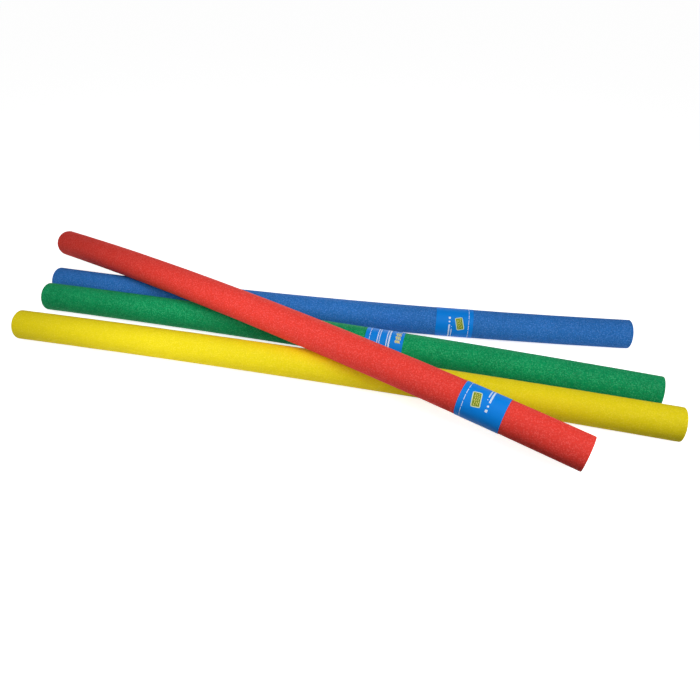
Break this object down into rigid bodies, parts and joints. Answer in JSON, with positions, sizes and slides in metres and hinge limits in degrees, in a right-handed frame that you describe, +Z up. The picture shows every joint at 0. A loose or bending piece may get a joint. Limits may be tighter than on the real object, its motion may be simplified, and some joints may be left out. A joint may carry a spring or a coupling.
{
  "type": "pool noodle set",
  "caption": "Set of long hollow foam pool noodles with slight natural bows, some with a printed film sleeve; one lies across the others.",
  "frame": {"origin": "on the ground under the middle of the whole set", "axes": "+X runs along the front, yellow noodle; +Y goes to the back, from the yellow to the blue noodle; +Z up"},
  "size_m": [1.615, 0.582, 0.1472],
  "materials": {
    "yellow_foam": "matte closed-cell polyethylene foam",
    "green_foam": "matte closed-cell polyethylene foam",
    "blue_foam": "matte closed-cell polyethylene foam",
    "red_foam": "matte closed-cell polyethylene foam",
    "green_sleeve": "printed plastic film",
    "blue_sleeve": "printed plastic film",
    "red_sleeve": "printed plastic film"
  },
  "bodies": {
    "blue_noodle": {"blue_foam": "blue_foam"},
    "green_noodle": {"green_foam": "green_foam"},
    "yellow_noodle": {"yellow_foam": "yellow_foam"},
    "red_noodle": {"red_foam": "red_foam"},
    "green_label": {"green_sleeve": "green_sleeve"},
    "blue_label": {"blue_sleeve": "blue_sleeve"},
    "red_label": {"red_sleeve": "red_sleeve"}
  },
  "joints": [
    {"name": "green_lift", "type": "slide", "parent": "blue_noodle", "child": "green_noodle", "axis": [0, 0, 1], "range_m": [0, 0.25]},
    {"name": "yellow_lift", "type": "slide", "parent": "green_noodle", "child": "yellow_noodle", "axis": [0, 0, 1], "range_m": [0, 0.25]},
    {"name": "red_lift", "type": "slide", "parent": "yellow_noodle", "child": "red_noodle", "axis": [0, 0, 1], "range_m": [0, 0.25]},
    {"name": "green_label_slide", "type": "hinge", "parent": "green_noodle", "child": "green_label", "pos_m": [-0.38633, -15.57744, 0.0353], "axis": [0, 0, -1], "range_deg": [-3.1, 2.4]},
    {"name": "blue_label_slide", "type": "hinge", "parent": "blue_noodle", "child": "blue_label", "pos_m": [-0.63434, 9.49648, 0.0353], "axis": [0, 0, 1], "range_deg": [-4.2, 2.9]},
    {"name": "red_label_slide", "type": "hinge", "parent": "red_noodle", "child": "red_label", "pos_m": [0.82204, 2.72737, -5.11458], "axis": [0.3103, 0.8178, 0.4847], "range_deg": [-2.2, 2.45]}
  ]
}
